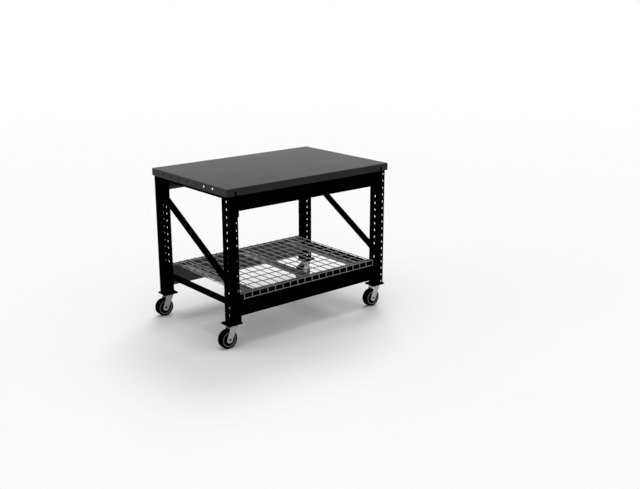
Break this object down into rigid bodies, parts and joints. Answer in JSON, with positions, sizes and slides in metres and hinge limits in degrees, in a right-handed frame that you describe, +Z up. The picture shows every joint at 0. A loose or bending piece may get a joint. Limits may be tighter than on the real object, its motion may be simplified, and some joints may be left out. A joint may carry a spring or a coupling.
{
  "type": "mobile assembly table",
  "caption": "Mobile steel assembly table with a folded sheet worktop, braced rack-style frame, wire shelf and swivel casters.",
  "frame": {"origin": "on the floor, at the middle of the whole object's footprint", "axes": "+X along the front of the table, to the right; +Y from the front to the back; +Z up"},
  "size_m": [1.4562, 0.929, 1.0832],
  "materials": {
    "grey_paint": "satin",
    "black_paint": "satin",
    "liner_paint": "satin",
    "deck_wire": "satin",
    "deck_channel": "satin",
    "zinc": "satin",
    "dark_steel": "satin",
    "wheel_core": "satin",
    "tyre": "matte"
  },
  "bodies": {
    "frame": {"worktop": "grey_paint", "post_front_left": "black_paint", "post_front_right": "black_paint", "post_back_left": "black_paint", "post_back_right": "black_paint", "foot_plate_front_left": "black_paint", "foot_plate_front_right": "black_paint", "foot_plate_back_left": "black_paint", "foot_plate_back_right": "black_paint", "diagonal_brace_left": "black_paint", "diagonal_brace_right": "black_paint", "bottom_strut_left": "black_paint", "bottom_strut_right": "black_paint", "top_strut_left": "black_paint", "top_strut_right": "black_paint", "upper_front_beam": "black_paint", "upper_back_beam": "black_paint", "lower_front_beam": "black_paint", "lower_back_beam": "black_paint", "upper_front_beam_liner": "liner_paint", "upper_back_beam_liner": "liner_paint", "lower_front_beam_liner": "liner_paint", "lower_back_beam_liner": "liner_paint", "connector_upper_front_left": "black_paint", "connector_upper_front_right": "black_paint", "connector_upper_back_left": "black_paint", "connector_upper_back_right": "black_paint", "connector_lower_front_left": "black_paint", "connector_lower_front_right": "black_paint", "connector_lower_back_left": "black_paint", "connector_lower_back_right": "black_paint", "wire_deck": "deck_wire", "deck_channel_left": "deck_channel", "deck_channel_centre": "deck_channel", "deck_channel_right": "deck_channel", "caster_plate_front_left": "black_paint", "caster_plate_front_right": "black_paint", "caster_plate_back_left": "black_paint", "caster_plate_back_right": "black_paint", "kingpin_front_left": "dark_steel", "kingpin_front_right": "dark_steel", "kingpin_back_left": "dark_steel", "kingpin_back_right": "dark_steel"},
    "swivel_front_left": {"fork_front_left": "zinc", "axle_front_left": "dark_steel"},
    "swivel_front_right": {"fork_front_right": "zinc", "axle_front_right": "dark_steel"},
    "swivel_back_left": {"fork_back_left": "zinc", "axle_back_left": "dark_steel"},
    "swivel_back_right": {"fork_back_right": "zinc", "axle_back_right": "dark_steel"},
    "wheel_front_left": {"wheel_core_front_left": "wheel_core", "tyre_front_left": "tyre"},
    "wheel_front_right": {"wheel_core_front_right": "wheel_core", "tyre_front_right": "tyre"},
    "wheel_back_left": {"wheel_core_back_left": "wheel_core", "tyre_back_left": "tyre"},
    "wheel_back_right": {"wheel_core_back_right": "wheel_core", "tyre_back_right": "tyre"}
  },
  "joints": [
    {"name": "swivel_front_left", "type": "hinge", "parent": "frame", "child": "swivel_front_left", "pos_m": [-0.6251, -0.407, 0.155], "axis": [0, 0, 1], "continuous": true},
    {"name": "swivel_front_right", "type": "hinge", "parent": "frame", "child": "swivel_front_right", "pos_m": [0.6705, -0.407, 0.155], "axis": [0, 0, 1], "continuous": true},
    {"name": "swivel_back_left", "type": "hinge", "parent": "frame", "child": "swivel_back_left", "pos_m": [-0.6251, 0.407, 0.155], "axis": [0, 0, 1], "continuous": true},
    {"name": "swivel_back_right", "type": "hinge", "parent": "frame", "child": "swivel_back_right", "pos_m": [0.6705, 0.407, 0.155], "axis": [0, 0, 1], "continuous": true},
    {"name": "roll_front_left", "type": "hinge", "parent": "swivel_front_left", "child": "wheel_front_left", "pos_m": [-0.6631, -0.407, 0.065], "axis": [0, 1, 0], "continuous": true},
    {"name": "roll_front_right", "type": "hinge", "parent": "swivel_front_right", "child": "wheel_front_right", "pos_m": [0.6325, -0.407, 0.065], "axis": [0, 1, 0], "continuous": true},
    {"name": "roll_back_left", "type": "hinge", "parent": "swivel_back_left", "child": "wheel_back_left", "pos_m": [-0.6631, 0.407, 0.065], "axis": [0, 1, 0], "continuous": true},
    {"name": "roll_back_right", "type": "hinge", "parent": "swivel_back_right", "child": "wheel_back_right", "pos_m": [0.6325, 0.407, 0.065], "axis": [0, 1, 0], "continuous": true}
  ]
}
